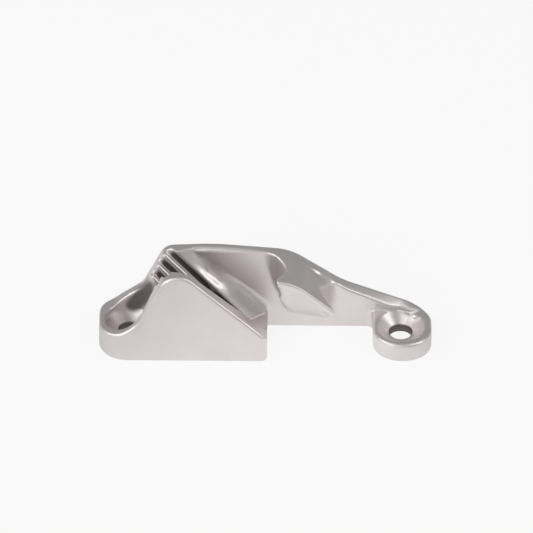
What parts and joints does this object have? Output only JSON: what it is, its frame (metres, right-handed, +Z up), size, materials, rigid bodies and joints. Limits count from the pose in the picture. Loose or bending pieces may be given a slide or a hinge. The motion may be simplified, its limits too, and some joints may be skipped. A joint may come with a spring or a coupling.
{
  "type": "jam cleat",
  "caption": "Side-entry jam cleat for thin rope: one die-cast piece with grooved V jaws, an open hook and screw lugs at both ends.",
  "frame": {"origin": "middle of the footprint's box, on the flat underside", "axes": "+X along the cleat, from the jaws to the far screw lug; +Y from the open front to the tall back wall; +Z up from the deck"},
  "size_m": [0.082, 0.0176, 0.0248],
  "materials": {
    "cast_aluminium": "satin, tumbled casting with a thin clear anodised skin"
  },
  "bodies": {
    "root": {"cleat_body": "cast_aluminium"}
  },
  "joints": []
}
